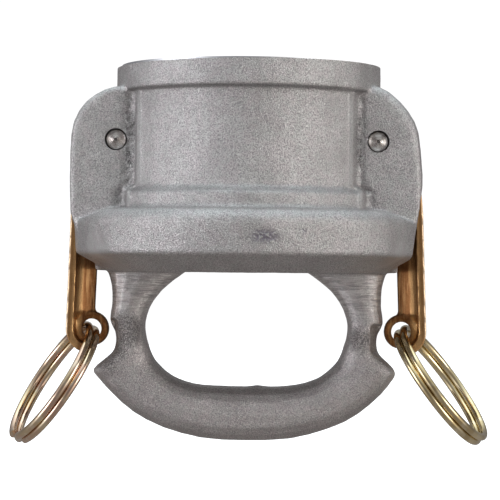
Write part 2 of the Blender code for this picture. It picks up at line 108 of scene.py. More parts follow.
# An ear's outer and inner faces, counted from the middle of the cap
EAR_OUTER = 16.7 * MM
EAR_INNER = 10.1 * MM
SAME_HEIGHT = 0.01 * MM

# Cast skin: colours, and the places that are smoother or rougher than the rest; the rougher
# places, in the handle's notches and at its left tip, are also darkened as painted shade
# (centre, reach and fade in millimetres)
CAST_DULL = (0.50, 0.495, 0.49)
CAST_LIGHT = (0.60, 0.595, 0.59)
CAST_GRAIN = (0.27, 0.265, 0.27)
# Pale specks and pale file strokes, and also the painted highlight on the ear-root beads
CAST_SPECK_AND_HIGHLIGHT = (0.82, 0.82, 0.80)
CAST_TINT = (1.0, 0.93, 0.96)
# Painted shade for the ear-root grooves and for the handle's notches and left tip
CAST_PAINTED_SHADE = (0.16, 0.15, 0.15)
CAST_STAIN = (0.17, 0.15, 0.19)
# Painted shade: the handle is made darker and warmer than the rest
HANDLE_SHADE = (0.93, 0.90, 0.89)
MACHINED_BLUE = (0.66, 0.67, 0.69)
MACHINED_PALE = (0.80, 0.80, 0.80)
MACHINED_LINE = (0.52, 0.53, 0.55)
# Painted blue reflection on the machined lip
MACHINED_LIP_REFLECTION = (0.40, 0.45, 0.52)
# Height over which the painted shade on the handle fades in, the ends of the filed part
# of its legs, and the edge between the lip's painted blue reflection and the bore's colour, in
# millimetres
HANDLE_SHADE_EDGE = (-63.0, -59.5)
FILED_FOOT = (-76.0, -68.0)
FILED_TOP = (-62.0, -60.6)
LIP_REFLECTION_EDGE = (-1.1, -0.9)
# Stain and star-shaped pit on the drum: centre, reach and fade in millimetres
STAIN = ((5.7, -50.5, -50.3), 0.6, 3.2, (0.6, 1.0, 1.3))
STAR_PIT = ((16.7, -48.5, -48.6), 0.1, 0.8)
SMOOTH_PLACES = (
    ((42.0, 0.0, -92.0), 3.0, 5.0),
    ((-40.0, -27.0, -56.0), 5.0, 5.0),
    ((41.0, -24.0, -55.0), 3.0, 5.0),
)
ROUGH_SHADED_PLACES = (
    ((-35.3, -9.0, -78.0), 2.6, 5.0),
    ((-37.5, -9.0, -84.0), 0.8, 4.5),
    ((-40.0, -7.0, -88.0), 0.5, 5.0),
    ((33.4, -9.0, -80.0), 1.0, 4.5),
    ((-36.0, 9.0, -80.0), 1.0, 5.0),
)
# Bead and groove where the barrel meets the ears: how far out the bead is,
# and how deep and wide the groove outside it
EAR_ROOT = {
    "left": (31.2 * MM, 0.65 * MM, 1.70 * MM),
    "right": (30.1 * MM, 0.60 * MM, 1.10 * MM),
}
BEAD_HEIGHT = 0.45 * MM
BEAD_WIDTH = 1.15 * MM
GROOVE_ASIDE = 2.50 * MM
ROOT_LUMP_SIZE = 0.9 * MM
ROOT_LUMP_HEIGHT = 0.50 * MM
ROOT_FACE = 15.0 * MM
ROOT_FADE_FACE = 1.0 * MM
ROOT_FADE_FOOT = 1.5 * MM
ROOT_FADE_TOP = 2.0 * MM
# The roots step out beside the belt: how far, and how far below and above its
# top the step ends
BELT_ASIDE = 2.8 * MM
BELT_TOP = -35.8 * MM
BELT_STEP = (1.2 * MM, 0.8 * MM)
# Edges of the painted highlight on the bead and of the painted shade in the groove,
# both counted out from the bead's middle; then the height where the groove's painted
# shade is darkest and how far from it that fades. All in millimetres
BEAD_EDGES = ((-1.1, -0.2), (0.2, 0.9))
GROOVE_EDGES = ((0.5, 1.3), (1.5, 3.2))
GROOVE_SHADE_PEAK = -23.0
GROOVE_SHADE_FADE = (4.0, 12.0)
COLLAR_FOOT = -8.0 * MM
DRUM_TOP = -42.5 * MM
HUMP_PLACE = (3.6 * MM, -1.0 * MM, -94.6 * MM)
HUMP_REACH = 2.2 * MM
HUMP_HEIGHT = 0.45 * MM

# Pivot pins and the holes round them
PIN_RADIUS = 2.9 * MM
PIN_HOLE_RADIUS = 3.2 * MM
PIN_HALF_LENGTH = 16.7 * MM
PIN_STEPS = 96
PIN_DOME = 0.95 * MM
PIN_DOME_PARTS = 6
PIN_DOME_POWER = 1.1
# Centre mark in each end of a pin, as (radius, depth), the bevel at its edge, and
# where the painted shade in the mark fades, in millimetres from the pin's axis
PIN_MARK = ((0.05 * MM, 0.35 * MM), (0.35 * MM, 0.22 * MM), (0.55 * MM, 0.0))
PIN_DOME_EDGE = 0.25 * MM
PIN_BEVEL = ((0.1 * MM, 0.12 * MM), (0.0, 0.4 * MM))
PIN_MARK_SHADE_EDGE = (0.35, 0.6)
STEEL_BROWN = (0.40, 0.36, 0.34)
STEEL_PALE = (0.72, 0.69, 0.66)
# Painted shade in the pin's centre mark
STEEL_MARK_SHADE = (0.07, 0.06, 0.06)

# Cam arms
ARM_VOXEL = 0.3 * MM
ARM_SMOOTHING = 5
EYE_HOLE_RADIUS = 2.95 * MM
EYE_RIM_RADIUS = 4.55 * MM
EYE_RIM_WIDTH = 0.42 * MM
EYE_RIM_TOP = 1.95 * MM
ARM_FILL_HALF = 9.4 * MM
EYE_FILL_HALF = 1.6 * MM
ARM_HOLE_HALF = 12.0 * MM
# Fillet between web and flange: how far in from the flange and how deep each
# point is, then the height of each section, the place of the flange's inner
# side there, and the share of the depth that it has
ARM_GUSSET = (
    (-0.8 * MM, 5.6 * MM),
    (0.1 * MM, 5.2 * MM),
    (0.6 * MM, 4.2 * MM),
    (1.4 * MM, 3.3 * MM),
    (2.6 * MM, 2.5 * MM),
    (4.0 * MM, 1.7 * MM),
    (5.4 * MM, 1.0 * MM),
)
ARM_GUSSET_SECTIONS = (
    (-46.0 * MM, 49.4 * MM, 1.0),
    (-72.6 * MM, 50.4 * MM, 0.9),
    (-75.0 * MM, 50.5 * MM, 0.45),
)

BRONZE_DARK = (0.17, 0.072, 0.028)
BRONZE_BROWN = (0.30, 0.140, 0.055)
BRONZE_TAN = (0.38, 0.200, 0.082)
BRONZE_GOLD = (0.66, 0.40, 0.18)
# Pale back edge: rubbed wear, and also a painted highlight
BRONZE_RUBBED_AND_HIGHLIGHT = (0.90, 0.70, 0.48)
# The arm's back, the height below which it leans outward, and by how much; then
# where each colour starts and is full, counted outward from the back in millimetres
ARM_BACK = 51.6 * MM
ARM_STRAIGHT_TOP = -43.0 * MM
ARM_LEAN = 0.040
GOLD_EDGE = (-4.6, -3.2)
TAN_EDGE = (-1.7, -1.2)
RUBBED_HIGHLIGHT_EDGE = (-0.65, -0.35)

# Finger rings: two turns of wire, with a short step from one to the other
RING_RADIUS = 19.6 * MM
RING_WIRE_RADIUS = 1.12 * MM
RING_PITCH = 2.22 * MM
RING_STEP_HALF_ANGLE = math.radians(12.0)
RING_HANG = {"left": math.radians(34.5), "right": math.radians(37.5)}
RING_YAW = {"left": math.radians(15.0), "right": math.radians(11.0)}
RING_STEP_PLACE = {"left": math.radians(168.0), "right": math.radians(34.0)}
RING_SIDES = 20
RING_STEPS_PER_TURN = 150
RING_SHARP_ANGLE = 50.0

WIRE_OLIVE = (0.60, 0.48, 0.27)
WIRE_YELLOW = (0.80, 0.68, 0.42)
WIRE_CREAM = (0.72, 0.58, 0.38)
WIRE_PINK = (0.66, 0.47, 0.36)
WIRE_PALE = (0.90, 0.83, 0.66)
WIRE_TINT_CHANGE = 10.0

# Gasket
GASKET_OUTER = 33.35 * MM
GASKET_INNER = 25.0 * MM
GASKET_EDGE = 0.9 * MM
GASKET_EDGE_PARTS = 6
GASKET_STEPS = 160

RUBBER_BLACK = (0.016, 0.016, 0.017)
RUBBER_BLOOM = (0.040, 0.040, 0.041)

# Camera and stage
CAMERA_PLACE = (14.13 * MM, -631.85 * MM, -56.4 * MM)
CAMERA_YAW = math.radians(1.2)
CAMERA_ROLL = math.radians(0.6)
CAMERA_LENS = 153.2
CAMERA_SENSOR = 36.0
CAMERA_SHIFT_UP = 0.016
FLOOR_DROP = 0.22
FLOOR_REACH = 6.0
# Light of the tent below and above, and its bright patches: direction,
# sharpness, colour
TENT_LOW = (0.29, 0.27, 0.26)
TENT_HIGH = (0.23, 0.22, 0.22)
TENT_LOBES = (
    ((-0.89, -0.46, 0.0), 13.0, (1.72, 1.72, 1.84)),
    ((0.86, -0.51, 0.0), 13.0, (1.62, 1.51, 1.37)),
    ((0.0, 0.05, 1.0), 3.6, (1.80, 2.00, 2.08)),
)
BACKDROP = (1.05, 1.05, 1.05)
FLOOR_COLOUR = (0.80, 0.80, 0.79)
FLOOR_GLOW = 0.75
# Soft lights: place, size, power
SOFTBOXES = {
    "left_box": ((-0.88, -0.46, 0.0), 0.45, 2.2),
    "right_box": ((0.86, -0.50, 0.0), 0.45, 2.0),
}


# ------------------------------------------------------------------- shapes


def add_object(name, mesh):
    piece = bpy.data.objects.new(name, mesh)
    bpy.context.scene.collection.objects.link(piece)
    return piece


def object_from(name, shape):
    """Object from a bmesh, with its faces turned outward."""
    bmesh.ops.recalc_face_normals(shape, faces=shape.faces)
    mesh = bpy.data.meshes.new(name)
    shape.to_mesh(mesh)
    shape.free()
    return add_object(name, mesh)


def apply_modifiers(piece):
    graph = bpy.context.evaluated_depsgraph_get()
    done = bpy.data.meshes.new_from_object(piece.evaluated_get(graph))
    before = piece.data
    piece.modifiers.clear()
    piece.data = done
    bpy.data.meshes.remove(before)


def shade_round(piece, sharp_angle=SHARP_ANGLE):
    piece.data.shade_smooth()
    piece.data.set_sharp_from_angle(angle=math.radians(sharp_angle))


def skin_rings(shape, rings, closed):
    """Skin a row of equal point rings; an open row gets a cap at each end."""
    loops = [[shape.verts.new(point) for point in ring] for ring in rings]
    pairs = list(zip(loops, loops[1:]))
    if closed:
        pairs.append((loops[-1], loops[0]))
    for first, second in pairs:
        count = len(first)
        for index in range(count):
            after = (index + 1) % count
            shape.faces.new((first[index], first[after], second[after], second[index]))
    if not closed:
        shape.faces.new(loops[0])
        shape.faces.new(loops[-1])
    return [vert for loop in loops for vert in loop]


def add_turned(shape, profile, steps, closed=False, centre=(0.0, 0.0, 0.0), along_y=False):
    """Turn a (radius, height) outline about Z, or about Y, through a centre."""
    rings = []
    for radius, height in profile:
        ring = []
        for index in range(steps):
            angle = 2.0 * math.pi * index / steps
            across = radius * math.cos(angle)
            aside = radius * math.sin(angle)
            point = (across, height, aside) if along_y else (across, aside, height)
            ring.append(Vector(centre) + Vector(point))
        rings.append(ring)
    return skin_rings(shape, rings, closed)


def add_rod(shape, radius, half_length, centre):
    """A rod along Y, the same to front and back of its centre."""
    ends = [(radius, -half_length), (radius, half_length)]
    add_turned(shape, ends, PIN_STEPS, centre=centre, along_y=True)


def node_shape(node):
    """The welded shape of a CAD node, as a bmesh of its own."""
    shape = bmesh.new()
    shape.from_mesh(frame["nodes"][node].data)
    bmesh.ops.remove_doubles(shape, verts=shape.verts, dist=WELD_DISTANCE)
    return shape


def remesh(piece, voxel, smoothing):
    """One even skin over the whole piece, with its corners eased."""
    skin = piece.modifiers.new("skin", "REMESH")
    skin.mode = "VOXEL"
    skin.voxel_size = voxel
    skin.use_smooth_shade = True
    ease = piece.modifiers.new("ease", "SMOOTH")
    ease.factor = 0.5
    ease.iterations = smoothing
    apply_modifiers(piece)


def cut_away(piece, tool):
    cut = piece.modifiers.new("cut", "BOOLEAN")
    cut.operation = "DIFFERENCE"
    cut.solver = "MANIFOLD"
    cut.object = tool
    apply_modifiers(piece)
    bpy.data.objects.remove(tool)


def vertex_places(mesh):
    places = np.zeros(len(mesh.vertices) * 3)
    mesh.vertices.foreach_get("co", places)
    return places.reshape(-1, 3)


def vertex_normals(mesh):
    normals = np.zeros(len(mesh.vertices) * 3)
    mesh.vertex_normals.foreach_get("vector", normals)
    return normals.reshape(-1, 3)


def noise_at(places, size):
    return np.array([noise.noise(Vector(place) / size) for place in places])


# ------------------------------------------------------------------- casting


def round_out_facets(places):
    """Push the flats of the turned CAD faces out onto the true circle."""
    step = 2.0 * math.pi / CAD_TURNED_STEPS
    angle = np.arctan2(places[:, 1], places[:, 0])
    aside = np.mod(angle, step) - step / 2.0
    grow = np.cos(aside) / math.cos(step / 2.0)
    places[:, :2] *= grow[:, None]
    return places


def smooth_step(value, low, high):
    share = np.clip((value - low) / (high - low), 0.0, 1.0)
    return share * share * (3.0 - 2.0 * share)


def ear_roots(places):
    """Height of the bead along each ear's root, and of the rough groove beside it."""
    height = np.zeros(len(places))
    lumps = ROOT_LUMP_HEIGHT * noise_at(places, ROOT_LUMP_SIZE)
    below, above = BELT_STEP
    aside = BELT_ASIDE * smooth_step(-places[:, 2], -BELT_TOP - above, -BELT_TOP + below)
    reach = smooth_step(-places[:, 2], -COLLAR_FOOT, -COLLAR_FOOT + ROOT_FADE_TOP)
    reach *= smooth_step(places[:, 2], DRUM_TOP, DRUM_TOP + ROOT_FADE_FOOT)
    reach *= smooth_step(np.abs(places[:, 1]), ROOT_FACE - ROOT_FADE_FACE, ROOT_FACE)
    for label, side in SIDES:
        out, depth, width = EAR_ROOT[label]
        across = side * places[:, 0] - out - aside
        groove = np.exp(-((across - GROOVE_ASIDE) / width) ** 2)
        root = BEAD_HEIGHT * np.exp(-(across / BEAD_WIDTH) ** 2) + (lumps - depth) * groove
        height += root * reach
    return height


def cast_surface(piece):
    """Swells, lumps, ear roots, the groove under the collar and a hump on the grip."""
    mesh = piece.data
    places = round_out_facets(vertex_places(mesh))
    normals = vertex_normals(mesh)
    height = SWELL_HEIGHT * noise_at(places, SWELL_SIZE)
    height += LUMP_HEIGHT * noise_at(places, LUMP_SIZE)
    radius = np.hypot(places[:, 0], places[:, 1])
    across = (places[:, 2] - COLLAR_GROOVE_PLACE) / COLLAR_GROOVE_WIDTH
    groove = COLLAR_GROOVE_DEPTH * np.exp(-across ** 2)
    groove *= (radius > MOUTH_RADIUS + MOUTH_WALL) & (radius < BARREL_REACH)
    away = np.linalg.norm(places - np.array(HUMP_PLACE), axis=1)
    height += ear_roots(places)
    height += HUMP_HEIGHT * np.exp(-(away / HUMP_REACH) ** 2)
    places += normals * (height - groove)[:, None]
    mesh.vertices.foreach_set("co", places.ravel())
    mesh.update()


def machined_tool():
    """Everything the lathe and the drill take away."""
    wide = COLLAR_RADIUS + CUT_CLEAR
    profile = [
        (WELL_RADIUS, WELL_FLOOR),
        (WELL_RADIUS, SEAT_FLOOR),
        (SEAT_RADIUS, SEAT_FLOOR),
        (SEAT_RADIUS, SEAT_TOP),
        (MOUTH_RADIUS, SEAT_TOP),
        (MOUTH_RADIUS, -MOUTH_CHAMFER),
        (MOUTH_RADIUS + MOUTH_CHAMFER, 0.0),
        (LIP_RADIUS, 0.0),
        (LIP_RADIUS, -LIP_HEIGHT),
        (wide, -LIP_HEIGHT),
        (wide, CUT_CLEAR),
    ]
    shape = bmesh.new()
    for vert in add_turned(shape, profile, MACHINED_STEPS):
        if abs(vert.co.z + LIP_HEIGHT) < SAME_HEIGHT:
            vert.co.z += LIP_TILT * vert.co.x
    for label, _ in SIDES:
        add_rod(shape, PIN_HOLE_RADIUS, PIN_HALF_LENGTH + CUT_CLEAR, joint_place["arm_%s_hinge" % label])
    return object_from("machined_tool", shape)


def casting(cast, machined):
    """The cast body: filled and skinned like a raw casting, then cut by the tools."""
    shape = node_shape("cap_body")
    plug = SEAT_RADIUS + FILL_OVERLAP
    add_turned(shape, [(plug, WELL_FLOOR - FILL_OVERLAP), (plug, MOUTH_FILL_TOP)], CAD_TURNED_STEPS)
    add_turned(shape, [(COLLAR_RADIUS, height) for height in COLLAR_FILL], CAD_TURNED_STEPS)
    fill = PIN_HOLE_RADIUS + FILL_OVERLAP
    for label, _ in SIDES:
        for facing in (-1, 1):
            rod = [(fill, -facing * EAR_OUTER), (fill, -facing * EAR_INNER)]
            add_turned(shape, rod, PIN_STEPS, centre=joint_place["arm_%s_hinge" % label], along_y=True)
    piece = object_from("cast_body", shape)
    remesh(piece, SKIN_VOXEL, SKIN_SMOOTHING)
    cast_surface(piece)
    piece.data.materials.clear()
    piece.data.materials.append(cast)
    piece.data.materials.append(machined)
    tool = machined_tool()
    tool.data.materials.append(cast)
    tool.data.materials.append(machined)
    for face in tool.data.polygons:
        face.material_index = 1
    cut_away(piece, tool)
    shade_round(piece)
    return piece


# --------------------------------------------------------------- loose pieces


def gusset_rings(side):
    """Sections of the fillet that runs down both faces of an arm's web."""
    outline = ARM_GUSSET + tuple((away, -deep) for away, deep in ARM_GUSSET[::-1])
    rings = []
    for height, inner, share in ARM_GUSSET_SECTIONS:
        rings.append([Vector((side * (inner - away), share * deep, height)) for away, deep in outline])
    return rings


def cam_arm(label, side, bronze):
    """An arm filled and skinned like a raw casting, then drilled for pin and ring."""
    pivot = joint_place["arm_%s_hinge" % label]
    eye = joint_place["ring_%s_swing" % label]
    shape = node_shape("cam_arm_" + label)
    add_rod(shape, PIN_HOLE_RADIUS + FILL_OVERLAP, ARM_FILL_HALF, pivot)
    add_rod(shape, EYE_HOLE_RADIUS + FILL_OVERLAP, EYE_FILL_HALF, eye)
    inner, outer = EYE_RIM_RADIUS - EYE_RIM_WIDTH, EYE_RIM_RADIUS + EYE_RIM_WIDTH
    rim = [(inner, -EYE_RIM_TOP), (outer, -EYE_RIM_TOP), (outer, EYE_RIM_TOP), (inner, EYE_RIM_TOP)]
    add_turned(shape, rim, PIN_STEPS, closed=True, centre=eye, along_y=True)
    skin_rings(shape, gusset_rings(side), closed=False)
    piece = object_from("bronze_arm_" + label, shape)
    remesh(piece, ARM_VOXEL, ARM_SMOOTHING)
    piece.data.materials.clear()
    piece.data.materials.append(bronze)
    shape = bmesh.new()
    add_rod(shape, PIN_HOLE_RADIUS, ARM_HOLE_HALF, pivot)
    add_rod(shape, EYE_HOLE_RADIUS, ARM_HOLE_HALF, eye)
    tool = object_from("arm_tool", shape)
    tool.data.materials.append(bronze)
    cut_away(piece, tool)
    shade_round(piece)
    return piece


def pivot_pin(label, steel):
    """Turned pin with nearly conical ends and a round centre mark in each."""
    half = PIN_HALF_LENGTH
    end = [(radius, half - depth) for radius, depth in PIN_MARK]
    start = PIN_MARK[-1][0]
    reach = PIN_RADIUS - PIN_DOME_EDGE - start
    for part in range(1, PIN_DOME_PARTS + 1):
        share = part / PIN_DOME_PARTS
        end.append((start + reach * share, half - PIN_DOME * share ** PIN_DOME_POWER))
    end += [(PIN_RADIUS - inward, half - PIN_DOME - down) for inward, down in PIN_BEVEL]
    profile = end + [(radius, -height) for radius, height in end[::-1]]
    shape = bmesh.new()
    add_turned(shape, profile, PIN_STEPS, centre=joint_place["arm_%s_hinge" % label], along_y=True)
    piece = object_from("steel_pin_" + label, shape)
    piece.data.materials.append(steel)
    shade_round(piece)
    return piece


def ring_offset(turn):
    """Sideways place of the wire: two flat turns joined by one short step."""
    step = (turn - 2.0 * math.pi + RING_STEP_HALF_ANGLE) / (2.0 * RING_STEP_HALF_ANGLE)
    step = min(1.0, max(0.0, step))
    return RING_PITCH * (step * step * (3.0 - 2.0 * step) - 0.5)


def finger_ring(label, side, plated):
    """Coil of wire through the arm's eye, swung outward as it hangs."""
    start = RING_STEP_HALF_ANGLE
    end = 4.0 * math.pi - RING_STEP_HALF_ANGLE
    steps = 2 * RING_STEPS_PER_TURN
    rings = []
    for index in range(steps + 1):
        turn = start + (end - start) * index / steps
        angle = turn + RING_STEP_PLACE[label]
        outward = Vector((math.sin(angle), 0.0, math.cos(angle)))
        centre = outward * RING_RADIUS + Vector((0.0, ring_offset(turn), -RING_RADIUS))
        ring = []
        for corner in range(RING_SIDES):
            around = 2.0 * math.pi * corner / RING_SIDES
            sideways = Vector((0.0, RING_WIRE_RADIUS * math.sin(around), 0.0))
            ring.append(centre + outward * RING_WIRE_RADIUS * math.cos(around) + sideways)
        rings.append(ring)
    shape = bmesh.new()
    skin_rings(shape, rings, closed=False)
    stand = Matrix.Rotation(side * (math.pi / 2.0 - RING_YAW[label]), 3, "Z")
    swing = Matrix.Rotation(-side * RING_HANG[label], 3, "Y")
    bmesh.ops.rotate(shape, matrix=swing @ stand, verts=shape.verts)
    bmesh.ops.translate(shape, vec=joint_place["ring_%s_swing" % label], verts=shape.verts)
    piece = object_from("wire_ring_" + label, shape)
    piece.data.materials.append(plated)
    shade_round(piece, RING_SHARP_ANGLE)
    return piece


def gasket(rubber):
    """Flat ring with rounded edges, as thick as the CAD one."""
    low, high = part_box("gasket")
    profile = []
    corners = [
        (GASKET_INNER + GASKET_EDGE, low.z + GASKET_EDGE, 180.0),
        (GASKET_OUTER - GASKET_EDGE, low.z + GASKET_EDGE, 270.0),
        (GASKET_OUTER - GASKET_EDGE, high.z - GASKET_EDGE, 0.0),
        (GASKET_INNER + GASKET_EDGE, high.z - GASKET_EDGE, 90.0),
    ]
    for radius, height, start in corners:
        for part in range(GASKET_EDGE_PARTS + 1):
            angle = math.radians(start + 90.0 * part / GASKET_EDGE_PARTS)
            across = GASKET_EDGE * math.cos(angle)
            profile.append((radius + across, height + GASKET_EDGE * math.sin(angle)))
    shape = bmesh.new()
    add_turned(shape, profile, GASKET_STEPS, closed=True)
    piece = object_from("rubber_gasket", shape)
    piece.data.materials.append(rubber)
    shade_round(piece)
    return piece


# ----------------------------------------------------------------- materials


class Tree:
    """Short names for the nodes of one node tree."""

    def __init__(self, tree):
        self.nodes = tree.nodes
        self.links = tree.links

    def set(self, socket, value):
        if isinstance(value, bpy.types.NodeSocket):
            self.links.new(value, socket)
        elif hasattr(socket.default_value, "__len__") and len(socket.default_value) == 4:
            socket.default_value = (*value, 1.0)
        else:
            socket.default_value = value

    def node(self, kind, values, output=0, **settings):
        """New node with its first inputs filled in; gives one of its outputs."""
        made = self.nodes.new(kind)
        for name, setting in settings.items():
            setattr(made, name, setting)
        for socket, value in zip(made.inputs, values):
            self.set(socket, value)
        return made.outputs[output]

    def vector(self, operation, first, second=(0.0, 0.0, 0.0)):
        scalar = operation in ("LENGTH", "DOT_PRODUCT")
        return self.node("ShaderNodeVectorMath", (first, second), int(scalar), operation=operation)

    def math(self, operation, first, second=0.0, third=0.0):
        return self.node("ShaderNodeMath", (first, second, third), operation=operation)

    def span(self, value, low, high, to_low=0.0, to_high=1.0):
        """Smooth step of a value from low to high."""
        values = (value, low, high, to_low, to_high)
        return self.node("ShaderNodeMapRange", values, interpolation_type="SMOOTHSTEP")

    def mix(self, factor, first, second, blend="MIX"):
        made = self.nodes.new("ShaderNodeMix")
        made.data_type = "RGBA"
        made.blend_type = blend
        self.set(made.inputs["Factor"], factor)
        self.set(made.inputs[6], first)
        self.set(made.inputs[7], second)
        return made.outputs[2]


class Paint(Tree):
    """One procedural material, painted by place in millimetres."""

    def __init__(self, name):
        self.material = bpy.data.materials.new(name)
        self.material.use_nodes = True
        super().__init__(self.material.node_tree)
        self.shader = self.nodes["Principled BSDF"]
        place = self.nodes.new("ShaderNodeTexCoord")
        self.place = self.vector("MULTIPLY", place.outputs["Object"], (1.0 / MM,) * 3)
        split = self.nodes.new("ShaderNodeSeparateXYZ")
        self.links.new(self.place, split.inputs[0])
        self.x, self.y, self.z = split.outputs

    def surface(self, name, value):
        self.set(self.shader.inputs[name], value)

    def noise(self, per_mm, detail=2.0, rough=0.5, stretch=(1.0, 1.0, 1.0), at=None):
        """Noise from 0 to 1 at a scale per millimetre."""
        made = self.nodes.new("ShaderNodeTexNoise")
        self.links.new(self.vector("MULTIPLY", at or self.place, stretch), made.inputs["Vector"])
        made.inputs["Scale"].default_value = per_mm
        made.inputs["Detail"].default_value = detail
        made.inputs["Roughness"].default_value = rough
        return made.outputs["Fac"]

    def bump(self, height, distance, before=None):
        made = self.nodes.new("ShaderNodeBump")
        made.inputs["Distance"].default_value = distance
        made.inputs["Strength"].default_value = 1.0
        self.links.new(height, made.inputs["Height"])
        if before:
            self.links.new(before, made.inputs["Normal"])
        return made.outputs[0]

    def near(self, centre, reach, fade, stretch=(1.0, 1.0, 1.0)):
        """One inside a ball of that reach in millimetres, fading to nothing outside."""
        away = self.vector("MULTIPLY", self.vector("SUBTRACT", self.place, centre), stretch)
        return self.span(self.vector("LENGTH", away), reach, reach + fade, 1.0, 0.0)

    def times(self, first, second):
        return self.math("MULTIPLY", first, second)

    def either(self, first, second):
        return self.math("MAXIMUM", first, second)

    def between(self, value, rise, fall):
        """One between two soft edges, each given as its start and its end."""
        return self.times(self.span(value, *rise), self.span(value, *fall, 1.0, 0.0))

    def radius(self, across, along):
        """Distance from an axis, from two distances across it."""
        return self.math("SQRT", self.math("ADD", self.times(across, across), self.times(along, along)))

    def rings(self, per_mm, radius, depth):
        """Fine turned lines, the same all the way round an axis."""
        flat = self.node("ShaderNodeCombineXYZ", (radius, 0.0, depth))
        return self.noise(per_mm, detail=3.0, rough=0.6, at=flat)


def filed_legs(paint):
    """One where the handle's legs are filed, near their upper ends."""
    return paint.between(paint.z, FILED_FOOT, FILED_TOP)


def places_near(paint, places):
    """One near any of a list of places: centre, reach, fade."""
    found = paint.near(*places[0])
    for centre, reach, fade in places[1:]:
        found = paint.either(found, paint.near(centre, reach, fade))
    return found


def ear_root_marks(paint):
    """The bead at each ear's root with a painted highlight, and patches of painted shade in the groove
    outside it.
    """
    lengths = (DRUM_TOP, COLLAR_FOOT, BELT_TOP, ROOT_FACE)
    foot, top, belt, face = (length / MM for length in lengths)
    below, above = (size / MM for size in BELT_STEP)
    aside = paint.span(paint.z, belt - below, belt + above, BELT_ASIDE / MM, 0.0)
    fade = ROOT_FADE_FOOT / MM
    height = paint.between(paint.z, (foot, foot + fade), (top - fade, top))
    front = paint.span(paint.math("ABSOLUTE", paint.y), face - ROOT_FADE_FACE / MM, face)
    reach = paint.times(height, front)
    bead_highlights = []
    groove_shades = []
    for label, side in SIDES:
        out, _, width = (size / MM for size in EAR_ROOT[label])
        across = paint.math("SUBTRACT", paint.times(paint.x, float(side)), aside)
        rise, fall = ([out + edge for edge in edges] for edges in BEAD_EDGES)
        bead_highlights.append(paint.between(across, rise, fall))
        rise, fall = ([out + edge for edge in edges] for edges in GROOVE_EDGES)
        groove_shades.append(paint.between(across, rise, [edge + width for edge in fall]))
    # Painted shade in each groove, in patches, darkest at one height and fading away from it
    patchy = paint.span(paint.noise(0.45, detail=2.0), 0.40, 0.62, 0.25, 1.0)
    away = paint.math("ABSOLUTE", paint.math("SUBTRACT", paint.z, GROOVE_SHADE_PEAK))
    groove_shade_strength = paint.either(paint.span(away, *GROOVE_SHADE_FADE, 1.0, 0.0), 0.25)
    groove = paint.times(paint.either(*groove_shades), paint.times(patchy, groove_shade_strength))
    return paint.times(reach, paint.either(*bead_highlights)), paint.times(reach, groove)


def cast_aluminium():
    """Sand-cast skin: grain, specks, rubbed places, rough places darkened as painted shade, file
    strokes, a stain; painted shade on the handle and in the ear-root grooves, painted highlight on the
    ear-root beads.
    """
    paint = Paint("cast_aluminium")
    grain = paint.noise(2.6, detail=3.0, rough=0.65)
    speck = paint.noise(4.2, detail=1.0)
    cloud = paint.noise(0.12, detail=2.0)
    tint = paint.noise(0.40, detail=1.0)
    filed = filed_legs(paint)
    worn = paint.either(filed, places_near(paint, SMOOTH_PLACES))
    # Rough places in the handle's notches and at its left tip, also darkened there as painted shade
    rough = places_near(paint, ROUGH_SHADED_PLACES)
    bead_highlight, groove = ear_root_marks(paint)
    # Painted shade: below this height the handle is darker and warmer
    handle_shade = paint.span(paint.z, *HANDLE_SHADE_EDGE, 1.0, 0.0)
    base = paint.mix(paint.span(cloud, 0.3, 0.7), CAST_DULL, CAST_LIGHT)
    base = paint.mix(handle_shade, base, paint.mix(1.0, base, HANDLE_SHADE, "MULTIPLY"))
    sandy = paint.times(paint.span(grain, 0.36, 0.60, 1.0, 0.0), paint.span(worn, 0.0, 1.0, 0.85, 0.15))
    base = paint.mix(sandy, base, CAST_GRAIN)
    base = paint.mix(paint.span(speck, 0.58, 0.70, 0.0, 0.75), base, CAST_SPECK_AND_HIGHLIGHT)
    tinted = paint.mix(1.0, base, CAST_TINT, "MULTIPLY")
    base = paint.mix(paint.span(tint, 0.40, 0.60, 0.0, 0.5), base, tinted)
    # Painted highlight on the bead at each ear's root
    base = paint.mix(paint.times(bead_highlight, 0.30), base, CAST_SPECK_AND_HIGHLIGHT)
    # Painted shade in the ear-root grooves and the rough places, which also get a stronger bump
    deep = paint.either(groove, rough)
    base = paint.mix(paint.times(deep, paint.span(grain, 0.45, 0.57, 0.85, 0.10)), base, CAST_PAINTED_SHADE)
    stain = paint.either(paint.near(*STAIN), paint.near(*STAR_PIT))
    pit = paint.times(stain, paint.span(paint.noise(1.3, detail=3.0), 0.38, 0.54))
    base = paint.mix(paint.times(pit, 0.90), base, CAST_STAIN)
    stroke = paint.noise(2.4, detail=3.0, rough=0.6, stretch=(0.08, 0.08, 1.0))
    base = paint.mix(paint.times(filed, paint.span(stroke, 0.48, 0.64, 0.0, 0.40)), base, CAST_SPECK_AND_HIGHLIGHT)
    base = paint.mix(paint.times(filed, paint.span(stroke, 0.36, 0.50, 0.60, 0.0)), base, CAST_GRAIN)
    paint.surface("Base Color", base)
    paint.surface("Metallic", 0.88)
    gloss = paint.math("SUBTRACT", paint.times(filed, 0.07), paint.span(speck, 0.58, 0.70, 0.0, 0.08))
    paint.surface("Roughness", paint.math("ADD", gloss, paint.span(grain, 0.3, 0.7, 0.53, 0.40)))
    height = paint.math("ADD", paint.times(grain, 0.75), paint.times(speck, 0.25))
    height = paint.times(height, paint.span(worn, 0.0, 1.0, 1.0, 0.3))
    height = paint.times(height, paint.span(paint.either(deep, bead_highlight), 0.0, 1.0, 1.0, 2.4))
    height = paint.math("SUBTRACT", height, paint.times(pit, 0.8))
    normal = paint.bump(height, 0.28 * MM)
    paint.surface("Normal", paint.bump(paint.times(filed, stroke), 0.30 * MM, normal))
    return paint.material


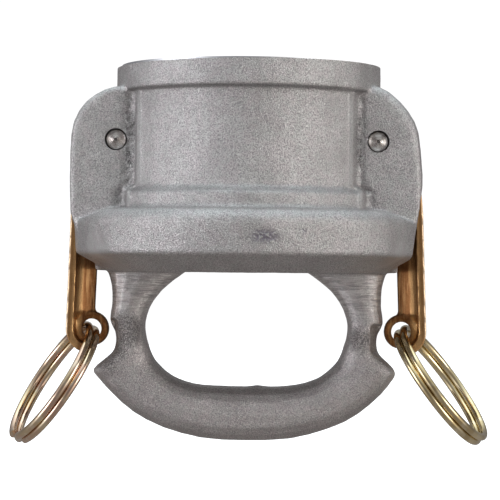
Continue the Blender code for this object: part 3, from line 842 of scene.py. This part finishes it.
def machined_aluminium():
    """Turned faces, with patches of painted blue reflection on the lip."""
    paint = Paint("machined_aluminium")
    ridge = paint.rings(5.0, paint.radius(paint.x, paint.y), paint.z)
    smear = paint.noise(0.25, detail=3.0)
    lip_reflection = paint.span(paint.z, *LIP_REFLECTION_EDGE)
    base = paint.mix(smear, MACHINED_BLUE, MACHINED_PALE)
    # Painted blue reflection, in patches, on the lip above the bore
    base = paint.mix(paint.times(lip_reflection, paint.span(smear, 0.35, 0.65, 0.15, 0.45)), base, MACHINED_LIP_REFLECTION)
    paint.surface("Base Color", paint.mix(paint.span(ridge, 0.3, 0.7, 0.0, 0.4), base, MACHINED_LINE))
    paint.surface("Metallic", 1.0)
    paint.surface("Roughness", paint.span(smear, 0.3, 0.7, 0.34, 0.40))
    paint.surface("Normal", paint.bump(ridge, 0.03 * MM))
    return paint.material


def cast_bronze():
    """Brown web, gold flange and a pale edge, rubbed and also a painted highlight, by distance from the
    back.
    """
    paint = Paint("cast_bronze")
    stain = paint.noise(0.30, detail=4.0, rough=0.6)
    grain = paint.noise(2.4, detail=3.0, rough=0.6)
    drawn = paint.noise(1.2, detail=2.0, stretch=(1.0, 1.0, 0.08))
    lean = paint.times(paint.math("SUBTRACT", ARM_STRAIGHT_TOP / MM, paint.z), ARM_LEAN)
    edge = paint.math("SUBTRACT", paint.math("ABSOLUTE", paint.x), ARM_BACK / MM)
    edge = paint.math("SUBTRACT", edge, paint.either(lean, 0.0))
    base = paint.mix(paint.span(stain, 0.35, 0.65), BRONZE_DARK, BRONZE_BROWN)
    base = paint.mix(paint.span(edge, *GOLD_EDGE), base, BRONZE_GOLD)
    base = paint.mix(paint.times(paint.span(edge, *TAN_EDGE), 0.8), base, BRONZE_TAN)
    base = paint.mix(paint.span(drawn, 0.45, 0.70, 0.0, 0.40), base, BRONZE_GOLD)
    # Pale back edge: rubbed wear, and also a painted highlight
    base = paint.mix(paint.times(paint.span(edge, *RUBBED_HIGHLIGHT_EDGE), 0.8), base, BRONZE_RUBBED_AND_HIGHLIGHT)
    base = paint.mix(paint.span(grain, 0.35, 0.60, 0.22, 0.0), base, BRONZE_DARK)
    paint.surface("Base Color", base)
    paint.surface("Metallic", 1.0)
    paint.surface("Roughness", paint.span(stain, 0.3, 0.7, 0.36, 0.46))
    normal = paint.bump(grain, 0.02 * MM)
    paint.surface("Normal", paint.bump(drawn, 0.05 * MM, normal))
    return paint.material


def plated_wire():
    """Yellow plating, creamier and pinker on the left ring."""
    paint = Paint("plated_wire")
    hue = paint.noise(0.13, detail=1.0)
    haze = paint.noise(0.35, detail=1.0)
    warm = paint.mix(paint.span(hue, 0.40, 0.60), WIRE_CREAM, WIRE_PINK)
    cool = paint.mix(paint.span(hue, 0.40, 0.60), WIRE_OLIVE, WIRE_YELLOW)
    base = paint.mix(paint.span(paint.x, -WIRE_TINT_CHANGE, WIRE_TINT_CHANGE), warm, cool)
    base = paint.mix(paint.span(haze, 0.50, 0.70, 0.0, 0.4), base, WIRE_PALE)
    paint.surface("Base Color", base)
    paint.surface("Metallic", 1.0)
    paint.surface("Roughness", paint.span(haze, 0.3, 0.7, 0.08, 0.14))
    paint.surface("Normal", paint.bump(haze, 0.02 * MM))
    return paint.material


def turned_steel():
    """Turned pin ends, with painted shade in the centre mark."""
    paint = Paint("turned_steel")
    hinge = joint_place["arm_right_hinge"] / MM
    across = paint.math("SUBTRACT", paint.math("ABSOLUTE", paint.x), hinge.x)
    radius = paint.radius(across, paint.math("SUBTRACT", paint.z, hinge.z))
    ridge = paint.rings(7.0, radius, paint.y)
    stain = paint.noise(0.7, detail=3.0)
    base = paint.mix(paint.span(stain, 0.35, 0.65), STEEL_BROWN, STEEL_PALE)
    # Painted shade in the centre mark
    mark_shade = paint.span(radius, *PIN_MARK_SHADE_EDGE, 0.7, 0.0)
    paint.surface("Base Color", paint.mix(mark_shade, base, STEEL_MARK_SHADE))
    paint.surface("Metallic", 1.0)
    paint.surface("Roughness", paint.span(ridge, 0.3, 0.7, 0.16, 0.26))
    paint.surface("Normal", paint.bump(ridge, 0.10 * MM))
    return paint.material


def moulded_rubber():
    """Black rubber with a faint bloom."""
    paint = Paint("moulded_rubber")
    bloom = paint.noise(0.35, detail=4.0)
    grain = paint.noise(3.0, detail=2.0)
    paint.surface("Base Color", paint.mix(paint.span(bloom, 0.4, 0.7), RUBBER_BLACK, RUBBER_BLOOM))
    paint.surface("Roughness", paint.span(grain, 0.3, 0.7, 0.52, 0.70))
    paint.surface("Normal", paint.bump(grain, 0.04 * MM))
    return paint.material


# --------------------------------------------------------------------- stage


def white_stage():
    """A wide pale floor well below the cap, bright enough to go white."""
    low = cad_box[0].z - FLOOR_DROP
    shape = bmesh.new()
    corners = ((-1, -1), (1, -1), (1, 1), (-1, 1))
    shape.faces.new([shape.verts.new((x * FLOOR_REACH, y * FLOOR_REACH, low)) for x, y in corners])
    floor = object_from("floor", shape)
    paint = Paint("pale_floor")
    paint.surface("Base Color", FLOOR_COLOUR)
    paint.surface("Roughness", 0.9)
    paint.surface("Emission Color", (1.0, 1.0, 1.0))
    paint.surface("Emission Strength", FLOOR_GLOW)
    floor.data.materials.append(paint.material)
    floor.visible_diffuse = False
    floor.visible_glossy = False


def soft_world():
    """A tent lit from both sides and above, dark below, with plain white behind."""
    made = bpy.data.worlds.new("tent")
    bpy.context.scene.world = made
    made.use_nodes = True
    made.node_tree.nodes.clear()
    world = Tree(made.node_tree)
    direction = world.nodes.new("ShaderNodeTexCoord").outputs["Generated"]
    height = world.node("ShaderNodeSeparateXYZ", (direction,), 2)
    light = world.mix(world.span(height, -0.75, 0.15), TENT_LOW, TENT_HIGH)
    for aim, sharpness, colour in TENT_LOBES:
        facing = world.vector("DOT_PRODUCT", direction, Vector(aim).normalized())
        lobe = world.math("POWER", world.math("MAXIMUM", facing, 0.0), sharpness)
        light = world.mix(lobe, light, world.vector("ADD", light, colour))
    tent = world.node("ShaderNodeBackground", (light,))
    plain = world.node("ShaderNodeBackground", (BACKDROP,))
    seen = world.nodes.new("ShaderNodeLightPath").outputs["Is Camera Ray"]
    mixed = world.node("ShaderNodeMixShader", (seen, tent, plain))
    output = world.nodes.new("ShaderNodeOutputWorld")
    world.links.new(mixed, output.inputs["Surface"])


def softbox(name, place, size, power):
    """Square soft light aimed at the middle of the cap."""
    light = bpy.data.lights.new(name, "AREA")
    light.shape = "SQUARE"
    light.size = size
    light.energy = power
    lamp = bpy.data.objects.new(name, light)
    middle = (cad_box[0] + cad_box[1]) / 2.0
    lamp.location = Vector(place)
    lamp.rotation_euler = (middle - lamp.location).to_track_quat("-Z", "Y").to_euler()
    bpy.context.scene.collection.objects.link(lamp)


def camera():
    """A long lens, level with the barrel and turned a little."""
    lens = bpy.data.cameras.new("camera")
    lens.lens = CAMERA_LENS
    lens.sensor_width = CAMERA_SENSOR
    lens.shift_y = CAMERA_SHIFT_UP
    eye = bpy.data.objects.new("camera", lens)
    turn = Matrix.Rotation(CAMERA_YAW, 4, "Z") @ Matrix.Rotation(math.pi / 2.0, 4, "X")
    eye.matrix_world = Matrix.Translation(CAMERA_PLACE) @ turn @ Matrix.Rotation(CAMERA_ROLL, 4, "Z")
    bpy.context.scene.collection.objects.link(eye)
    bpy.context.scene.camera = eye


def place(piece, body, node, slot):
    """Tie a piece to the body it moves with, and hide the CAD node it stands for. The slot is not used.
    """
    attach(piece, body)
    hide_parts(node)


def build():
    camera()
    bronze = cast_bronze()
    steel = turned_steel()
    wire = plated_wire()
    place(casting(cast_aluminium(), machined_aluminium()), "cap", "cap_body", "cast_aluminium")
    place(gasket(moulded_rubber()), "cap", "gasket", "rubber")
    for label, side in SIDES:
        place(cam_arm(label, side, bronze), "arm_" + label, "cam_arm_" + label, "cast_bronze")
        place(pivot_pin(label, steel), "cap", "pivot_pin_" + label, "turned_steel")
        place(finger_ring(label, side, wire), "ring_" + label, "finger_ring_" + label, "plated_wire")
    white_stage()
    soft_world()
    for name, (spot, size, power) in SOFTBOXES.items():
        softbox(name, spot, size, power)
    bpy.context.scene.view_settings.view_transform = "Standard"
    bpy.context.scene.view_settings.look = "None"


build()
